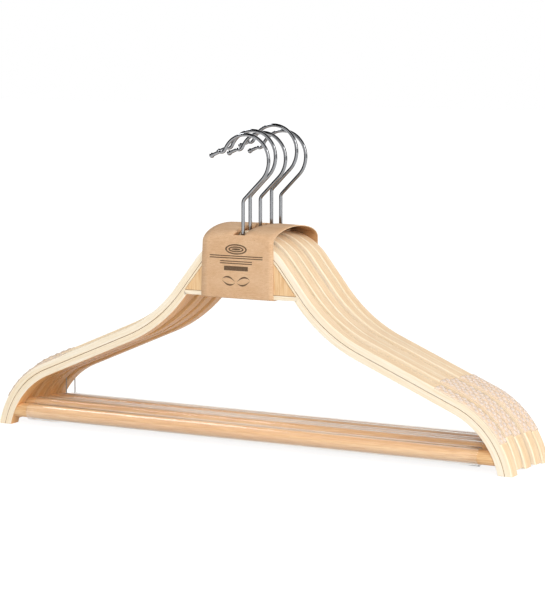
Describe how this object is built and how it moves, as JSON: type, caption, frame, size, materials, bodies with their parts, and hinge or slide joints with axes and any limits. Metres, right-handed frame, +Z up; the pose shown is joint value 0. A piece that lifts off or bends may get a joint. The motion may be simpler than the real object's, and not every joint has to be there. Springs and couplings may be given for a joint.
{
  "type": "clothes hanger pack",
  "caption": "Pack of bent-plywood clothes hangers with trouser bars in clear tubes, soft shoulder grips and swivelling wire hooks, held at the necks by a card sleeve.",
  "frame": {"origin": "on the floor under the middle of the pack, midway between the outer faces", "axes": "+X along the hangers to the viewer's right, +Y from the front hanger to the rear one, +Z up"},
  "size_m": [0.4472, 0.0724, 0.2436],
  "materials": {
    "plywood": "clear satin lacquer over pale bent plywood",
    "neck_wood": "sanded tan hardwood",
    "bar_wood": "turned and lacquered dowel",
    "chrome_wire": "bright plated wire",
    "steel": "plain turned steel",
    "clear_tube": "clear glossy soft plastic",
    "soft_grip": "milky translucent studded strip",
    "kraft_card": "uncoated brown card",
    "tie_line": "thin grey line"
  },
  "bodies": {
    "pack": {"hanger1_upper_lamella": "plywood", "hanger1_lower_lamella": "plywood", "hanger1_neck_block": "neck_wood", "hanger1_hook_bush": "steel", "hanger1_bar": "bar_wood", "hanger1_bar_tube": "clear_tube", "hanger1_grip_left": "soft_grip", "hanger1_grip_right": "soft_grip", "hanger2_upper_lamella": "plywood", "hanger2_lower_lamella": "plywood", "hanger2_neck_block": "neck_wood", "hanger2_hook_bush": "steel", "hanger2_bar": "bar_wood", "hanger2_bar_tube": "clear_tube", "hanger2_grip_left": "soft_grip", "hanger2_grip_right": "soft_grip", "hanger3_upper_lamella": "plywood", "hanger3_lower_lamella": "plywood", "hanger3_neck_block": "neck_wood", "hanger3_hook_bush": "steel", "hanger3_bar": "bar_wood", "hanger3_bar_tube": "clear_tube", "hanger3_grip_left": "soft_grip", "hanger3_grip_right": "soft_grip", "hanger4_upper_lamella": "plywood", "hanger4_lower_lamella": "plywood", "hanger4_neck_block": "neck_wood", "hanger4_hook_bush": "steel", "hanger4_bar": "bar_wood", "hanger4_bar_tube": "clear_tube", "hanger4_grip_left": "soft_grip", "hanger4_grip_right": "soft_grip", "hanger5_upper_lamella": "plywood", "hanger5_lower_lamella": "plywood", "hanger5_neck_block": "neck_wood", "hanger5_hook_bush": "steel", "hanger5_bar": "bar_wood", "hanger5_bar_tube": "clear_tube", "hanger5_grip_left": "soft_grip", "hanger5_grip_right": "soft_grip", "card_sleeve": "kraft_card", "tie_loop": "tie_line"},
    "hook1": {"hanger1_hook": "chrome_wire"},
    "hook2": {"hanger2_hook": "chrome_wire"},
    "hook3": {"hanger3_hook": "chrome_wire"},
    "hook4": {"hanger4_hook": "chrome_wire"},
    "hook5": {"hanger5_hook": "chrome_wire"}
  },
  "joints": [
    {"name": "hook1_swivel", "type": "hinge", "parent": "pack", "child": "hook1", "pos_m": [0.0011, -0.0292, 0.1613], "axis": [0, 0, 1], "range_deg": [-10, 10]},
    {"name": "hook2_swivel", "type": "hinge", "parent": "pack", "child": "hook2", "pos_m": [-0.0011, -0.0146, 0.1613], "axis": [0, 0, 1], "range_deg": [-10, 10]},
    {"name": "hook3_swivel", "type": "hinge", "parent": "pack", "child": "hook3", "pos_m": [-0.0005, 0, 0.1613], "axis": [0, 0, 1], "range_deg": [-10, 10]},
    {"name": "hook4_swivel", "type": "hinge", "parent": "pack", "child": "hook4", "pos_m": [0.0011, 0.0146, 0.1613], "axis": [0, 0, 1], "range_deg": [-10, 10]},
    {"name": "hook5_swivel", "type": "hinge", "parent": "pack", "child": "hook5", "pos_m": [0.0011, 0.0292, 0.1613], "axis": [0, 0, 1], "range_deg": [-10, 10]}
  ]
}
